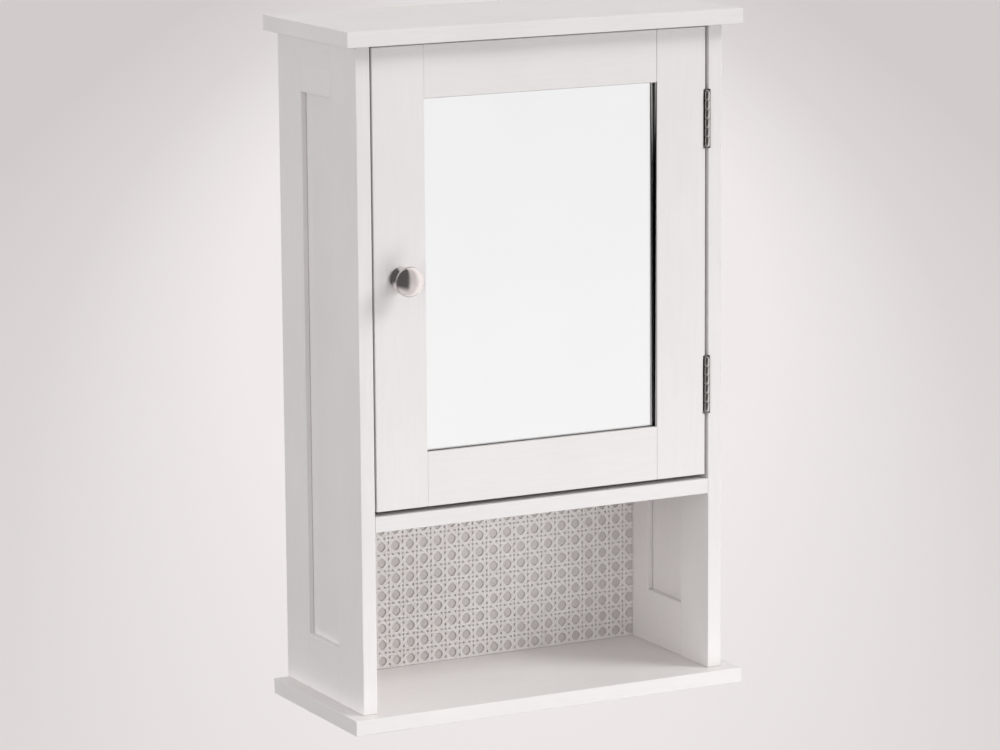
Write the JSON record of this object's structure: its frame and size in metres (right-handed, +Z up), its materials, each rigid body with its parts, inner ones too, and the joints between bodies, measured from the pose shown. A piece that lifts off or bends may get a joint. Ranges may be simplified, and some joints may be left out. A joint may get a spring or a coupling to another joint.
{
  "type": "hanging wall cabinet",
  "caption": "Small wall cabinet with a framed mirror door on butt hinges, an adjustable shelf inside and an open shelf with a cane-webbing back below.",
  "frame": {"origin": "midway between the centres of the two keyhole entries, on the plane of the wall", "axes": "+Z is up; +Y points into the wall, so the door faces -Y; +X is to the right of somebody who faces the door"},
  "size_m": [0.34, 0.16, 0.538],
  "materials": {
    "paint": "white satin paint over wood",
    "back_paint": "white painted panel",
    "cane": "woven rattan cane, painted white",
    "mirror": "silvered glass",
    "raw_wood": "plain sanded pine",
    "dowel_wood": "fluted beech",
    "backing_board": "brown hardboard",
    "foam_tape": "white foam",
    "white_plastic": "white moulded plastic",
    "ferrite": "dark sintered ferrite",
    "knob_nickel": "polished nickel plate",
    "hinge_nickel": "nickel plate",
    "cast_zinc": "cast zinc alloy",
    "zinc_steel": "zinc-plated steel"
  },
  "bodies": {
    "cabinet": {"top_board": "paint", "bottom_board": "paint", "middle_shelf": "paint", "inner_shelf": "paint", "back_panel": "back_paint", "cane_webbing": "cane", "top_hanging_rail": "raw_wood", "bottom_back_rail": "raw_wood", "left_side_front_stile": "paint", "left_side_rear_stile": "paint", "left_side_top_rail": "paint", "left_side_bottom_rail": "paint", "left_side_panel": "paint", "right_side_front_stile": "paint", "right_side_rear_stile": "paint", "right_side_top_rail": "paint", "right_side_bottom_rail": "paint", "right_side_panel": "paint", "left_hanger_plate": "zinc_steel", "right_hanger_plate": "zinc_steel", "hanger_screws": "zinc_steel", "top_cam_locks": "cast_zinc", "top_cam_bolts": "zinc_steel", "top_dowels": "dowel_wood", "shelf_cam_locks": "cast_zinc", "shelf_cam_bolts": "zinc_steel", "shelf_dowels": "dowel_wood", "rail_dowels": "dowel_wood", "bottom_screws": "zinc_steel", "shelf_pins": "zinc_steel", "catch_housing": "white_plastic", "catch_magnet": "ferrite", "catch_poles": "zinc_steel", "catch_screws": "zinc_steel", "upper_hinge_side_leaf": "hinge_nickel", "lower_hinge_side_leaf": "hinge_nickel", "hinge_side_screws": "hinge_nickel"},
    "door": {"door_left_stile": "paint", "door_right_stile": "paint", "door_top_rail": "paint", "door_bottom_rail": "paint", "mirror_glass": "mirror", "mirror_foam_tape": "foam_tape", "mirror_backing": "backing_board", "backing_clips": "zinc_steel", "backing_screws": "zinc_steel", "strike_plate": "zinc_steel", "strike_screws": "zinc_steel", "knob": "knob_nickel", "knob_screw": "zinc_steel", "knob_washer": "zinc_steel", "upper_hinge_door_leaf": "hinge_nickel", "upper_hinge_pin": "hinge_nickel", "lower_hinge_door_leaf": "hinge_nickel", "lower_hinge_pin": "hinge_nickel", "hinge_door_screws": "hinge_nickel"}
  },
  "joints": [
    {"name": "door_hinge", "type": "hinge", "parent": "cabinet", "child": "door", "pos_m": [0.14455, -0.1383, -0.15115], "axis": [0, 0, 1], "range_deg": [0, 180]}
  ]
}
